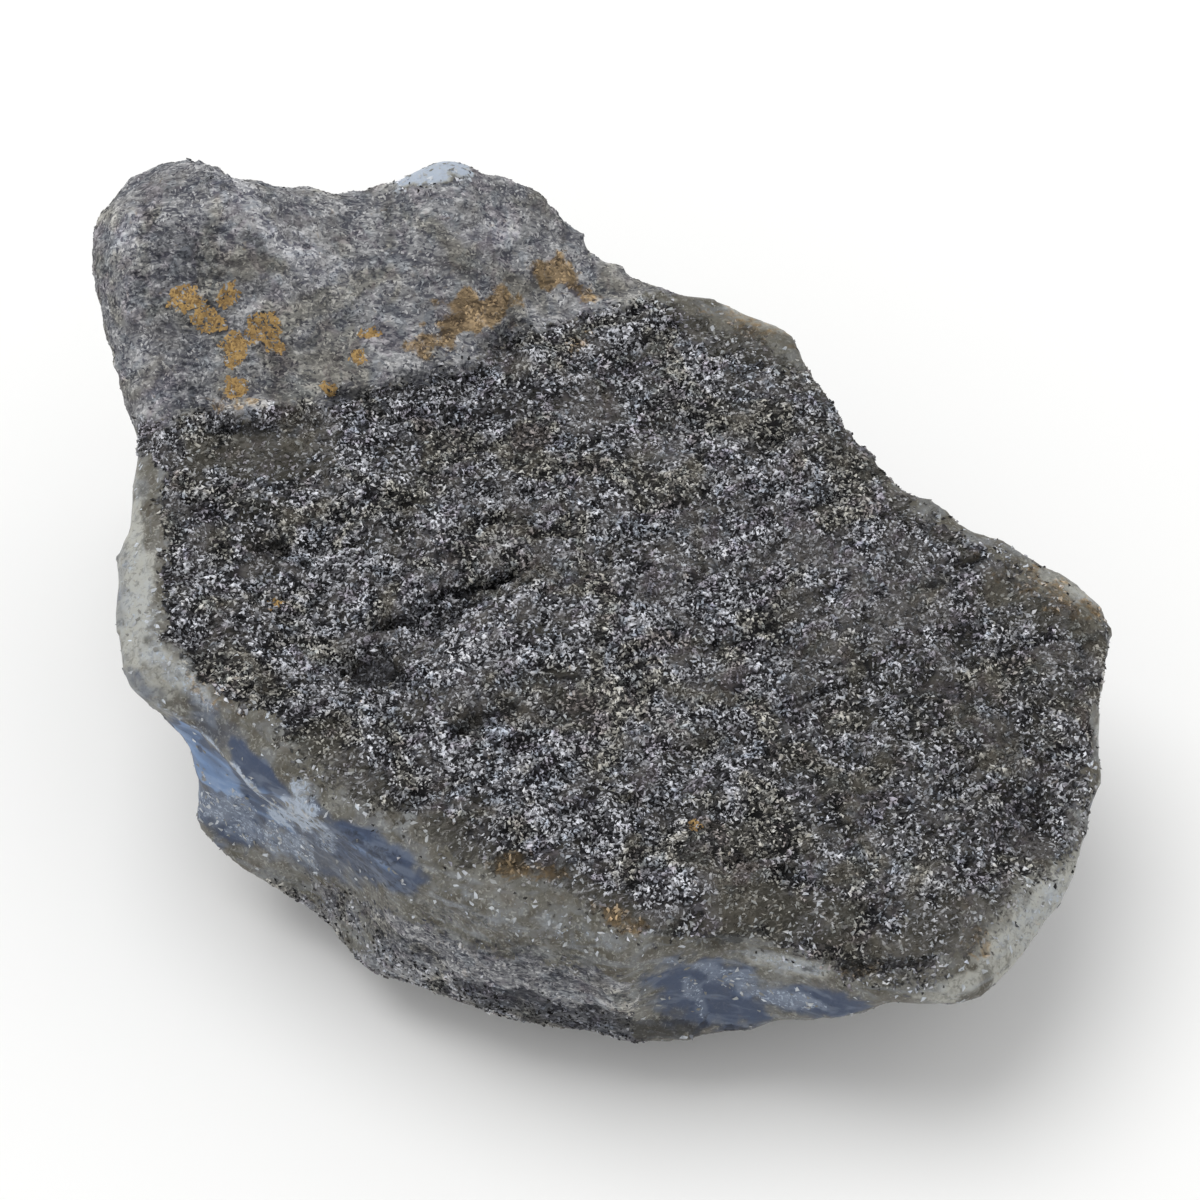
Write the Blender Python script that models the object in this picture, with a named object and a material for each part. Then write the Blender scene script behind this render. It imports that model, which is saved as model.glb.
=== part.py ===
"""A rough piece of agate, broken from its nodule and lying on a small flat spot.

The broad upper face is grey granular crust, nearly flat, with pits and a few low ledges. A knob of
weathered skin stands up at the back left. A bevelled rim of chalcedony goes round the face, and the
flanks below it are broken in hollow scars. It grew as one piece, so it is one solid.

Metres throughout. +X is to the right, +Y away from the viewer and +Z up. The origin is on the
surface that the stone lies on, under its middle.
"""

from math import cos, pi, radians, sin

import bmesh
import bpy
import numpy as np
from mathutils import Matrix, Vector, noise
from mathutils.bvhtree import BVHTree

MM = 0.001

# The stone is sighted from the front and above, as in its photograph. The rim and the visible part
# of the lower edge are written as they are sighted: millimetres across and up from the middle of
# the view, and millimetres above the ground.
SIGHT_ELEVATION = radians(50)
SIGHT_DISTANCE = 350
SIGHT_TARGET = Vector((0, 0, 24))

RIM_SIGHTED = (
    (-50.0, -3.0, 31),
    (-48.6, 4.0, 32),
    (-47.6, 9.0, 33),
    (-47.0, 14.0, 34),
    (-47.0, 17.5, 35.5),
    (-49.0, 25.0, 39),
    (-50.7, 33.0, 41.5),
    (-50.8, 36.0, 42),
    (-48.8, 39.4, 43.5),
    (-45.6, 41.8, 45),
    (-42.6, 43.2, 46),
    (-39.6, 41.9, 45.5),
    (-36.6, 40.8, 45),
    (-31.0, 41.2, 44.5),
    (-25.8, 40.2, 43),
    (-21.0, 41.2, 43),
    (-16.0, 43.4, 44),
    (-11.5, 43.3, 44.5),
    (-6.8, 42.7, 43),
    (-3.8, 40.2, 41),
    (0.9, 34.8, 36.5),
    (5.4, 32.6, 35),
    (10.2, 30.7, 33.5),
    (15.5, 29.0, 33),
    (20.0, 25.9, 32.5),
    (22.7, 21.6, 31.5),
    (25.8, 16.8, 30.5),
    (32.2, 11.5, 29),
    (37.6, 8.1, 28),
    (43.8, 4.2, 27),
    (49.3, 1.2, 26),
    (51.5, -2.5, 25.5),
    (52.0, -6.5, 25),
    (51.8, -12.0, 24),
    (50.5, -18.5, 23),
    (49.2, -25.5, 21.5),
    (46.7, -31.1, 20),
    (40.9, -37.5, 19),
    (37.8, -40.2, 18.5),
    (33.4, -41.1, 18.5),
    (27.0, -40.3, 19),
    (19.0, -37.4, 20.5),
    (5.0, -35.5, 23),
    (-4.0, -32.8, 24),
    (-12.0, -30.5, 25),
    (-20.0, -27.2, 26),
    (-26.0, -23.6, 27),
    (-33.3, -19.3, 27),
    (-36.6, -16.0, 27.5),
    (-39.7, -12.6, 28.5),
    (-43.3, -10.5, 29.5),
    (-46.6, -9.9, 30),
    (-49.1, -7.3, 30.5),
)
LOWER_EDGE_SIGHTED = (
    (-41.2, -18.0, 14),
    (-41.0, -23.0, 11.5),
    (-36.5, -27.2, 9),
    (-30.8, -31.2, 8),
    (-26.2, -34.6, 7),
    (-22.0, -37.6, 7),
    (-14.0, -40.7, 7),
    (-6.0, -42.8, 7),
    (4.0, -44.0, 8),
    (14.0, -44.7, 11),
    (22.0, -42.9, 14),
    (27.5, -41.0, 16),
)
# The rest of the lower edge isn't in view. It is written in plan, with its height.
LOWER_EDGE_HIDDEN = (
    (33, -39, 13),
    (39, -31, 11),
    (43, -20, 11),
    (44, -8, 12),
    (37, 2, 11),
    (28, 9, 10),
    (21, 21, 10),
    (10, 27, 9),
    (0, 32, 10),
    (-12, 37, 11),
    (-27, 35, 9),
    (-41, 35, 11),
    (-45, 28, 13),
    (-41, 12, 11),
    (-39, 0, 10),
    (-39.5, -10, 12),
)

# The plan point that every outline goes round.
MIDDLE = Vector((-3, -6))

# The face is a tilted plane: its height under the origin, and its rise for each millimetre along X and Y.
FACE_HEIGHT = 31.5
FACE_RISE_X = -0.085
FACE_RISE_Y = 0.12
RIM_BAND = 5.5
KNOB_BAND = 9
RIM_ROUNDNESS = 1.2
KNOB_ROUNDNESS = 1.7

# The knob starts at a line in plan and rises behind it. Along the middle of that line its foot is a
# small step, highest at KNOB_STEP_MIDDLE.
KNOB_FOOT = ((-50, 9), (-38, 12), (-31, 15.5), (-25, 18), (-18, 21), (-13, 24.5), (-4, 31), (2, 36))
KNOB_STEP = 2.8
KNOB_STEP_LENGTH = 2.2
KNOB_STEP_MIDDLE = -18
KNOB_STEP_REACH = 12
KNOB_RISE = 7.6
KNOB_LENGTH = 19

# Swellings and hollows of the upper face: where in plan, long and short radius, the long radius's
# direction, and how far the middle rises.
FACE_RELIEF = (
    ("knob peak", (-43, 30), 12, 9, 70, 1.0),
    ("knob ridge", (-33, 26), 13, 6, 125, 1.3),
    ("knob shoulder", (-12, 34), 11, 7, 10, 1.0),
    ("knob valley", (-25, 29), 17, 12, 80, -2.0),
    ("knob nose", (-40, 17), 9, 7, 20, 1.2),
    ("knob shelf", (-34, 13), 8, 4, 5, 0.9),
    ("square pit", (-23, -15), 4.2, 3.8, 20, -2.8),
    ("long pit", (-15, -6), 8.5, 3.0, 32, -2.5),
    ("round pit", (-32, -1), 3.6, 3.2, 0, -1.4),
    ("left hollow", (-27, -8), 12, 9, 30, -1.2),
    ("middle swelling", (-3, -12), 14, 7, 30, 1.3),
    ("front pit", (-12, -21), 4.0, 2.6, 40, -1.5),
    ("front ledge", (-5, -31), 9, 4, 5, 1.1),
    ("corner hollow", (41, -28), 8, 5, 60, -1.4),
    ("right swelling", (26, -8), 16, 9, 160, 1.0),
    ("back hollow", (2, 20), 12, 7, 20, -1.2),
)

# Hollow scars where flakes of chalcedony broke off a flank: direction from the middle in degrees
# from +X, height, radius of the hollow and its depth.
SCARS = (
    ("left scallop", 212, 20, 16, 1.0),
    ("left under scallop", 186, 20, 17, 2.2),
    ("front flake", 228, 15, 24, 0.9),
    ("front scoop", 293, 17, 20, 1.2),
    ("front corner", 323, 11, 20, 1.8),
    ("right flake", 352, 15, 22, 1.8),
    ("right back scoop", 24, 17, 28, 1.8),
    ("back flake", 62, 20, 24, 2.2),
    ("back scallop", 98, 24, 22, 3.0),
    ("knob back scar", 122, 28, 20, 3.0),
    ("knob left scar", 150, 22, 18, 2.4),
    ("left flake", 172, 20, 18, 2.0),
)

# How far a flank swells outwards halfway down, or hollows inwards, by its direction in degrees.
FLANK_SWELL = (
    (0, -1.2),
    (25, -1.6),
    (60, 0.6),
    (98, -1.8),
    (125, 0.8),
    (150, -1.2),
    (180, -2.8),
    (196, -2.4),
    (208, -2.2),
    (228, -1.4),
    (243, 0.6),
    (262, 1.4),
    (279, 1.0),
    (283, -1.6),
    (296, -2.0),
    (308, -0.8),
    (330, -0.4),
)

# The underside comes down to a small flat spot that the stone lies on.
BASE_MIDDLE = Vector((-6, -1))
BASE_RADII = (15, 11)
BASE_SAG = 0.35
UNDER_CURVE = 1.8

# Broken rock isn't smooth: each layer of roughness has the size of its lumps and their height.
LUMPS = ((14, 0.9), (6.5, 0.55), (3.2, 0.4))
UNDERSIDE_QUIET_BELOW = 2.5

POINTS_AROUND = 220
FACE_RINGS = 20
BAND_RINGS = 6
FLANK_RINGS = 14
UNDER_RINGS = 14
REMESH_SIZE = 1.15
SMOOTHINGS = 3
FAR_OUTSIDE = 200
TRIANGLES = 8400

CRUST_COLOUR = (0.105, 0.105, 0.100, 1)


def sighted(across, up, height):
    """The point at this height that is sighted this far across and up from the middle of the view."""
    ahead = Vector((0, cos(SIGHT_ELEVATION), -sin(SIGHT_ELEVATION)))
    upward = Vector((0, sin(SIGHT_ELEVATION), cos(SIGHT_ELEVATION)))
    eye = SIGHT_TARGET - ahead * SIGHT_DISTANCE
    line = ahead * SIGHT_DISTANCE + Vector((across, 0, 0)) + upward * up
    return eye + line * ((height - eye.z) / line.z)


def smooth(t):
    """From 0 to 1 as t goes from 0 to 1, level at both ends."""
    t = np.clip(t, 0, 1)
    return t * t * (3 - 2 * t)


def rounded(corners, per_side=6):
    """A closed smooth line through the corners, as an array of points."""
    corners = np.array([tuple(c) for c in corners], float)
    before = np.roll(corners, 1, axis=0)
    after = np.roll(corners, -1, axis=0)
    beyond = np.roll(corners, -2, axis=0)
    line = []
    for t in np.arange(per_side) / per_side:
        line.append(
            0.5
            * (
                2 * corners
                + (after - before) * t
                + (2 * before - 5 * corners + 4 * after - beyond) * t**2
                + (3 * corners - before - 3 * after + beyond) * t**3
            )
        )
    return np.stack(line, axis=1).reshape(-1, 3)


def at_angles(line, angles):
    """The points of a closed line in these directions from MIDDLE."""
    directions = np.arctan2(line[:, 1] - MIDDLE.y, line[:, 0] - MIDDLE.x)
    order = np.argsort(directions)
    return np.stack(
        [np.interp(angles, directions[order], line[order, k], period=2 * pi) for k in range(3)],
        axis=1,
    )


def behind_knob_foot(x, y):
    """How far a plan point lies behind the crease at the knob's foot."""
    foot = np.array(KNOB_FOOT, float)
    return y - np.interp(x, foot[:, 0], foot[:, 1])


def relief(x, y):
    """What the swellings and hollows add to the face."""
    total = np.zeros_like(x)
    for _, (px, py), long_radius, short_radius, turn, rise in FACE_RELIEF:
        c, s = cos(radians(turn)), sin(radians(turn))
        along = ((x - px) * c + (y - py) * s) / long_radius
        beside = (-(x - px) * s + (y - py) * c) / short_radius
        total += rise * np.exp(-2 * (along**2 + beside**2))
    return total


def face_height(x, y):
    """The height of the upper face over a plan point."""
    behind = behind_knob_foot(x, y)
    step = KNOB_STEP * np.exp(-(((x - KNOB_STEP_MIDDLE) / KNOB_STEP_REACH) ** 2))
    knob = step * smooth(behind / KNOB_STEP_LENGTH)
    knob += (KNOB_RISE + KNOB_STEP - step) * smooth(behind / KNOB_LENGTH)
    return FACE_HEIGHT + FACE_RISE_X * x + FACE_RISE_Y * y + knob + relief(x, y)


def face_rings(rim):
    """Rings from the middle of the face out to the rim, the outermost left out."""
    middle = np.array(MIDDLE)
    reach = np.linalg.norm(rim[:, :2] - middle, axis=1)
    on_knob = smooth(behind_knob_foot(rim[:, 0], rim[:, 1]) / KNOB_LENGTH)
    band = RIM_BAND + (KNOB_BAND - RIM_BAND) * on_knob
    inner = 1 - band / reach
    roundness = RIM_ROUNDNESS + (KNOB_ROUNDNESS - RIM_ROUNDNESS) * on_knob
    rim_face = face_height(rim[:, 0], rim[:, 1])
    rings = []
    for k in range(1, FACE_RINGS + 1):
        plan = middle + (rim[:, :2] - middle) * (inner * k / FACE_RINGS)[:, None]
        rings.append(np.column_stack([plan, face_height(plan[:, 0], plan[:, 1])]))
    for k in range(1, BAND_RINGS):
        t = sin(k / BAND_RINGS * pi / 2)
        plan = middle + (rim[:, :2] - middle) * (inner + (1 - inner) * t)[:, None]
        fall = 1 - (1 - t**roundness) ** (1 / roundness)
        height = face_height(plan[:, 0], plan[:, 1]) + (rim[:, 2] - rim_face) * fall
        rings.append(np.column_stack([plan, height]))
    return rings


def flank_rings(rim, lower, angles):
    """Rings from the rim down to the lower edge, both included."""
    outward = np.column_stack([np.cos(angles), np.sin(angles), np.zeros_like(angles)])
    swell = np.array(FLANK_SWELL)
    swell = np.interp(np.degrees(angles), swell[:, 0], swell[:, 1], period=360)
    rings = []
    for k in range(FLANK_RINGS + 1):
        t = k / FLANK_RINGS
        rings.append(rim + (lower - rim) * t + outward * swell[:, None] * sin(pi * t))
    return rings


def under_rings(lower, angles):
    """Rings from the lower edge in to the base, the first left out."""
    base = np.column_stack(
        [
            BASE_MIDDLE.x + BASE_RADII[0] * np.cos(angles),
            BASE_MIDDLE.y + BASE_RADII[1] * np.sin(angles),
        ]
    )
    rings = []
    for k in range(1, UNDER_RINGS + 1):
        t = k / UNDER_RINGS
        plan = lower[:, :2] + (base - lower[:, :2]) * t
        height = (lower[:, 2] + BASE_SAG) * (1 - t) ** UNDER_CURVE - BASE_SAG
        rings.append(np.column_stack([plan, height]))
    return rings


def lofted_body():
    """The stone before anything broke off it: rings from the middle of the face to the base."""
    angles = np.arange(POINTS_AROUND) / POINTS_AROUND * 2 * pi - pi
    rim = at_angles(rounded([sighted(*corner) for corner in RIM_SIGHTED]), angles)
    corners = [sighted(*corner) for corner in LOWER_EDGE_SIGHTED]
    corners += [Vector(corner) for corner in LOWER_EDGE_HIDDEN]
    lower = at_angles(rounded(corners), angles)
    rings = face_rings(rim) + flank_rings(rim, lower, angles) + under_rings(lower, angles)
    top = (*MIDDLE, float(face_height(np.array([MIDDLE.x]), np.array([MIDDLE.y]))[0]))
    bottom = (*BASE_MIDDLE, -BASE_SAG)
    points = np.vstack([*rings, [top], [bottom]]) * MM
    count = POINTS_AROUND
    last = (len(rings) - 1) * count
    faces = []
    for k in range(count):
        after = (k + 1) % count
        faces.append((len(points) - 2, k, after))
        faces.append((len(points) - 1, last + after, last + k))
        for ring in range(len(rings) - 1):
            start = ring * count
            faces.append((start + k, start + count + k, start + count + after, start + after))
    mesh = bpy.data.meshes.new("stone")
    mesh.from_pydata([tuple(p) for p in points], [], faces)
    mesh.validate()
    return mesh


def place_object(name, mesh):
    """An object of this mesh, at the origin of the scene."""
    thing = bpy.data.objects.new(name, mesh)
    bpy.context.scene.collection.objects.link(thing)
    return thing


def as_evaluated(thing):
    """The object's mesh with its modifiers applied."""
    graph = bpy.context.evaluated_depsgraph_get()
    graph.update()
    return bpy.data.meshes.new_from_object(thing.evaluated_get(graph))


def scar_tool(tree, direction, height, radius, depth):
    """A ball that meets the flank in this direction and cuts it to this depth."""
    outward = Vector((cos(radians(direction)), sin(radians(direction)), 0))
    start = Vector((*MIDDLE, height)) * MM + outward * FAR_OUTSIDE * MM
    spot, normal, _, _ = tree.ray_cast(start, -outward)
    mesh = bpy.data.meshes.new("scar tool")
    ball = bmesh.new()
    bmesh.ops.create_icosphere(ball, subdivisions=5, radius=radius * MM)
    ball.transform(Matrix.Translation(spot + normal * (radius - depth) * MM))
    ball.to_mesh(mesh)
    ball.free()
    return mesh


def break_flanks(stone):
    """Breaks the flakes off, one scar after another."""
    tree = BVHTree.FromObject(stone, bpy.context.evaluated_depsgraph_get())
    for name, direction, height, radius, depth in SCARS:
        tool = place_object(name, scar_tool(tree, direction, height, radius, depth))
        tool.hide_render = True
        tool.display_type = "WIRE"
        cut = stone.modifiers.new(name, "BOOLEAN")
        cut.operation = "DIFFERENCE"
        cut.object = tool
    even = stone.modifiers.new("even mesh", "REMESH")
    even.mode = "VOXEL"
    even.voxel_size = REMESH_SIZE * MM
    worn = stone.modifiers.new("worn edges", "SMOOTH")
    worn.iterations = SMOOTHINGS
    broken = as_evaluated(stone)
    stone.modifiers.clear()
    stone.data = broken
    for name, *_ in SCARS:
        bpy.data.objects.remove(bpy.data.objects[name])


def roughen(mesh):
    """Lumps of several sizes, which die away where the underside nears the ground."""
    normals = [v.normal.copy() for v in mesh.vertices]
    for v, normal in zip(mesh.vertices, normals):
        place = v.co / MM
        quiet = float(smooth((place.z + BASE_SAG) / UNDERSIDE_QUIET_BELOW))
        lift = 0
        for layer, (size, height) in enumerate(LUMPS):
            lift += height * noise.noise(place / size + Vector((0, 0, 17 * layer)))
        v.co += normal * lift * quiet * MM


def reduce(stone):
    """Fewer triangles, with the fewest where the surface is flattest."""
    faces = sum(len(p.vertices) - 2 for p in stone.data.polygons)
    fewer = stone.modifiers.new("fewer", "DECIMATE")
    fewer.ratio = TRIANGLES / faces
    reduced = as_evaluated(stone)
    stone.modifiers.clear()
    stone.data = reduced


def level_base(mesh):
    """Cuts the underside level at the ground, which leaves the flat spot."""
    body = bmesh.new()
    body.from_mesh(mesh)
    everything = body.verts[:] + body.edges[:] + body.faces[:]
    bmesh.ops.bisect_plane(
        body, geom=everything, plane_co=(0, 0, 0), plane_no=(0, 0, 1), clear_inner=True
    )
    bmesh.ops.holes_fill(body, edges=[e for e in body.edges if e.is_boundary])
    bmesh.ops.recalc_face_normals(body, faces=body.faces[:])
    body.to_mesh(mesh)
    body.free()


def crust_material():
    material = bpy.data.materials.new("agate crust")
    material.use_nodes = True
    shader = material.node_tree.nodes["Principled BSDF"]
    shader.inputs["Base Color"].default_value = CRUST_COLOUR
    shader.inputs["Roughness"].default_value = 0.8
    shader.inputs["Metallic"].default_value = 0
    return material


def main():
    for thing in list(bpy.data.objects):
        bpy.data.objects.remove(thing)
    stone = place_object("agate_stone", lofted_body())
    break_flanks(stone)
    roughen(stone.data)
    reduce(stone)
    level_base(stone.data)
    stone.data.materials.clear()
    stone.data.materials.append(crust_material())
    stone.data.shade_smooth()
    stone.data.set_sharp_from_angle(angle=radians(40))


main()
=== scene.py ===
"""The looks of a broken agate: its fine surface, its grains and flakes, its lichen and the studio.

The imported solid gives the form. This file gives the stone its skin, which stands for the solid, and
scatters quartz grains, milky flakes and lichen over it. Metres throughout, +Z up.
"""

from math import cos, pi, radians, sin

import bmesh
import bpy
import numpy as np
from bpy.props import FloatProperty, FloatVectorProperty, IntProperty, PointerProperty
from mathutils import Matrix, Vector, noise


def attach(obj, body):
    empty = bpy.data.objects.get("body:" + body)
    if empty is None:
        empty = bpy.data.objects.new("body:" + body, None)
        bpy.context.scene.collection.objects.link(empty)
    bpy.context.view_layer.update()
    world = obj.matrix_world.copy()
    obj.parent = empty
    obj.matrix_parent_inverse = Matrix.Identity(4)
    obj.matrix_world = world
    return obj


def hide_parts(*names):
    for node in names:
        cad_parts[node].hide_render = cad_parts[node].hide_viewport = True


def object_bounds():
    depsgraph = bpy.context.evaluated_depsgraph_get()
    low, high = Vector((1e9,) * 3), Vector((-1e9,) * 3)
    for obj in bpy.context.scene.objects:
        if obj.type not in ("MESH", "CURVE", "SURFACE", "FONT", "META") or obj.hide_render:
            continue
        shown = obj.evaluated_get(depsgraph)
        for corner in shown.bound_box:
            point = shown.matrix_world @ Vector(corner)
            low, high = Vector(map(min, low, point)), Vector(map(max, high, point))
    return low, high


bl_info = {
    "name": "Agate chunk",
    "version": (1, 0, 0),
    "blender": (4, 5, 0),
    "location": "3D View > Sidebar > Agate",
    "description": "Dresses a broken agate with granular crust, weathered skin and chalcedony",
    "category": "Add Mesh",
}

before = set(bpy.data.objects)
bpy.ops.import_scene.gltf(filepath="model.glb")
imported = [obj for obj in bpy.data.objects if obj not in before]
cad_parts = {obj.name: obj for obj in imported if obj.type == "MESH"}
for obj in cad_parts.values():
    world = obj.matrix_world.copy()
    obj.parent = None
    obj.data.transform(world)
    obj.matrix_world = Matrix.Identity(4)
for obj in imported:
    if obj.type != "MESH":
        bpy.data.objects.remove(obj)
CAD_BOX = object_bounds()

MM = 0.001
NODE = "agate_stone"
BODY = "root"

# The view that the markings are placed from, which is also the camera's.
SIGHT_ELEVATION = radians(50)
SIGHT_DISTANCE = 350
SIGHT_TARGET = np.array((0.0, 0.0, 24.0))
SIGHT_WIDTH = 120
AHEAD = np.array((0.0, cos(SIGHT_ELEVATION), -sin(SIGHT_ELEVATION)))
UPWARD = np.array((0.0, sin(SIGHT_ELEVATION), cos(SIGHT_ELEVATION)))
EYE = SIGHT_TARGET - AHEAD * SIGHT_DISTANCE

# The upper side, which gets finer faces: how much its normals rise at least, and how high it lies.
UPPER_SIDE = 0.42
LOW_RIM = 15

# The upper face as a plane: its height over the origin, and its rise for each millimetre.
FACE_HEIGHT = 31.5
FACE_RISE_X = -0.085
FACE_RISE_Y = 0.12

# How deep below that plane the crust grows in view and out of sight, and how slowly it dies out.
CRUST_DEPTH_SEEN = 16
CRUST_DEPTH_HIDDEN = 9
CRUST_DEPTH_FADE = 4

# The floor and the lamp, in metres, and the camera's sensor, in millimetres.
FLOOR_REACH = 1.6
LAMP_WIDTH = 2.1
LAMP_PLACE = (-0.66, 0.48, 2.25)
SENSOR_WIDTH = 36

# The stone's grain runs in streaks: how far they are drawn out along and across their run, and the
# run's turn in degrees. The chalcedony's bands are drawn out both ways, so that they lie level.
CRUST_FLOW = (1.7, 1, 26)
LEDGE_FLOW = (2.6, 1, 32)
KNOB_FLOW = (2.2, 1, 4)
BAND_FLOW = (3, 3, 0)
NO_FLOW = (1, 1, 0)

# Outlines and spots are in millimetres across and up from the middle of the view, as sighted.
CRUST_OUTLINE = (
    (-54, 14), (-46.5, 15), (-43.6, 13.3), (-43.6, 10.2), (-43.4, 6.7), (-43.1, 4.7), (-43.8, 2.0),
    (-43.5, -0.4), (-43.2, -3.5), (-42.0, -5.3), (-40.8, -6.3), (-38.6, -8.6), (-36.8, -10.0),
    (-32.5, -11.4), (-31.1, -13.8), (-29.4, -15.9), (-27.1, -17.8), (-24.2, -19.4), (-21.9, -21.1),
    (-18.6, -22.5), (-14.1, -25.1), (-8.0, -27.5), (-4.0, -28.5), (0.0, -31.0), (6.6, -33.4),
    (13.3, -34.3), (18.6, -34.6), (21.2, -35.6), (24.5, -37.3), (28.5, -37.6), (33.2, -37.4),
    (35.2, -35.3), (38.5, -32.3), (41.8, -28.3), (46.1, -25.6), (47.6, -23.0), (48.4, -20.0),
    (49.4, -14.5), (49.9, -9.5), (54, -6), (48.0, -1.0), (44.0, 1.5), (39.0, 4.7), (35.0, 7.0),
    (31.0, 9.3), (28, 14), (26, 18), (22, 22.4), (18.6, 23.6), (15.6, 26.2), (12.6, 27.2), (8.6, 28.8),
    (5.0, 31.0), (2, 36), (-3, 44), (-8, 48), (-54, 48),
)
KNOB_OUTLINE = (
    (-54, 17), (-47, 17.5), (-42, 18.5), (-38, 18.5), (-33, 18.5), (-29, 19.5), (-26, 20.5),
    (-22, 21.5), (-18, 22.2), (-14, 23.2), (-11, 24.8), (-8.5, 26.8), (-4, 27.5), (0, 28.5), (4, 30),
    (8, 31), (4, 38), (-3, 46), (-54, 48),
)
# The flank's lower edge, where the nodule's own rind shows again.
RIND_OUTLINE = (
    (-34, -28.5), (-31, -28.0), (-27.5, -28.5), (-24, -30.5), (-21, -31.0), (-17, -32.5),
    (-12, -34.8), (-7, -36.0), (-2, -37.0), (2, -37.6), (3.5, -39.5), (3, -46), (-20, -46), (-36, -34),
)
# The sharp white edge where the rim breaks off above the left scallop.
BROKEN_EDGE = (
    (-44.0, -10.3), (-42.3, -11.2), (-39.7, -12.9), (-36.8, -15.9), (-34.6, -18.3), (-32.8, -19.9),
    (-30.8, -20.9), (-28.6, -21.4),
)

# Each spot is a name, then across, up, long and short radius, the long radius's turn in degrees
# and a strength. The strength of pits and ledges is in millimetres.
PITS = (
    ("square pit", -22.6, -6.8, 2.5, 1.9, 5, 1.7),
    ("pit beside it", -19.6, -4.4, 1.4, 0.9, 20, 1.0),
    ("slot start", -20.6, -2.3, 2.4, 0.6, 10, 1.2),
    ("slot", -16.4, -0.2, 2.3, 0.6, 35, 1.3),
    ("slot middle", -12.6, 1.2, 2.4, 0.6, 20, 1.3),
    ("slot end", -9.6, 2.3, 1.4, 0.5, 25, 1.0),
    ("under the slot", -16.5, -2.6, 4.6, 0.8, 33, 0.6),
    ("crack above", -25.6, 5.4, 3.0, 0.5, 10, 0.6),
    ("upper slot", -4.5, 8.5, 2.6, 0.5, 25, 0.6),
    ("right crack", 21.5, -9.5, 3.4, 0.5, 20, 0.6),
    ("right pit", 27.5, -18.5, 1.6, 0.9, 30, 0.7),
    ("middle right pit", 12.0, -4.5, 2.0, 0.7, 25, 0.6),
    ("left pit", -32.6, 5.4, 1.3, 1.0, 0, 0.9),
    ("left lower pit", -30.0, -0.8, 1.7, 0.8, 10, 0.7),
    ("front pit", -12.0, -12.2, 2.2, 0.7, 30, 0.8),
    ("middle pit", -7.5, -20.4, 1.3, 0.6, 10, 0.7),
    ("edge pit one", 11.5, -34.2, 1.3, 0.6, 0, 0.7),
    ("edge pit two", 24.4, -36.4, 1.8, 0.8, -10, 0.9),
    ("edge pit three", 30.6, -36.6, 3.0, 0.8, 5, 0.9),
    ("corner hollow", 42.0, -22.0, 3.2, 2.2, 60, 0.7),
    ("right hollow", 38.6, -15.2, 3.6, 1.6, 20, 0.5),
    ("left edge pit", -40.4, -4.8, 1.3, 0.8, -40, 0.7),
    ("knob foot, left", -25.0, 20.6, 2.6, 0.6, 5, 0.9),
    ("knob foot, middle", -17.0, 22.4, 4.6, 0.7, 10, 0.6),
    ("knob foot, right", -9.2, 26.4, 2.2, 1.0, 40, 0.7),
    ("under the left shelf", -35.0, 17.4, 5.0, 0.5, 3, 0.6),
)
LEDGES = (
    ("diagonal ridge", -12.4, -3.6, 7.5, 1.3, 41, 0.7),
    ("ridge foot", -24.5, -10.6, 4.0, 1.3, 20, 0.5),
    ("upper ledge", -18.0, 2.6, 6.0, 0.9, 28, 0.5),
    ("front ledge", -6.0, -21.6, 4.4, 1.0, 5, 0.6),
    ("lower ledge", -4.5, -25.8, 4.0, 0.8, 6, 0.5),
    ("right vein", 17.0, -26.6, 5.5, 0.5, 33, 0.4),
    ("left shelf", -33.6, 18.9, 5.0, 0.9, -4, 0.7),
    ("corner ledge", 40.5, -22.0, 4.0, 1.0, -35, 0.5),
    ("knob ridge", -32.5, 36.0, 9.5, 1.6, -42, 0.6),
)
BARE_SPOTS = (
    ("olive shelf", -33.6, 14.4, 7.5, 2.8, 0, 1.0),
    ("right side", 34.0, -13.0, 16.0, 20.0, 0, 0.5),
    ("left of the front", -26.0, -16.6, 6.0, 2.6, -38, 0.8),
    ("under the ridge", -27.5, -13.4, 3.6, 1.3, -10, 0.6),
    ("front edge", -3.5, -29.0, 8.5, 2.2, -18, 0.9),
    ("front edge left", -16.0, -23.6, 6.0, 2.2, -28, 0.9),
    ("right front", 17.5, -31.2, 10.0, 3.0, -6, 0.9),
    ("front corner", 33.0, -33.4, 7.5, 3.4, 15, 0.9),
    ("right middle", 30.0, -22.5, 7.0, 4.0, 10, 0.5),
    ("back edge", 14.5, 26.4, 8.5, 2.6, -18, 1.0),
    ("back right", 20.5, 19.5, 5.5, 3.0, -55, 0.5),
    ("back slope", 28.5, 13.0, 9.0, 2.0, -50, 0.7),
    ("right end", 44.5, -0.6, 7.5, 2.4, -28, 0.9),
    ("below the right end", 46.5, -7.0, 3.4, 3.2, -60, 0.6),
    ("back middle", 1.0, 16.0, 8.0, 3.0, 15, 0.35),
)
WHITE_LUMP = ("behind the knob", -16.6, 43.2, 5.2, 1.9, 12, 1.0)
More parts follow.
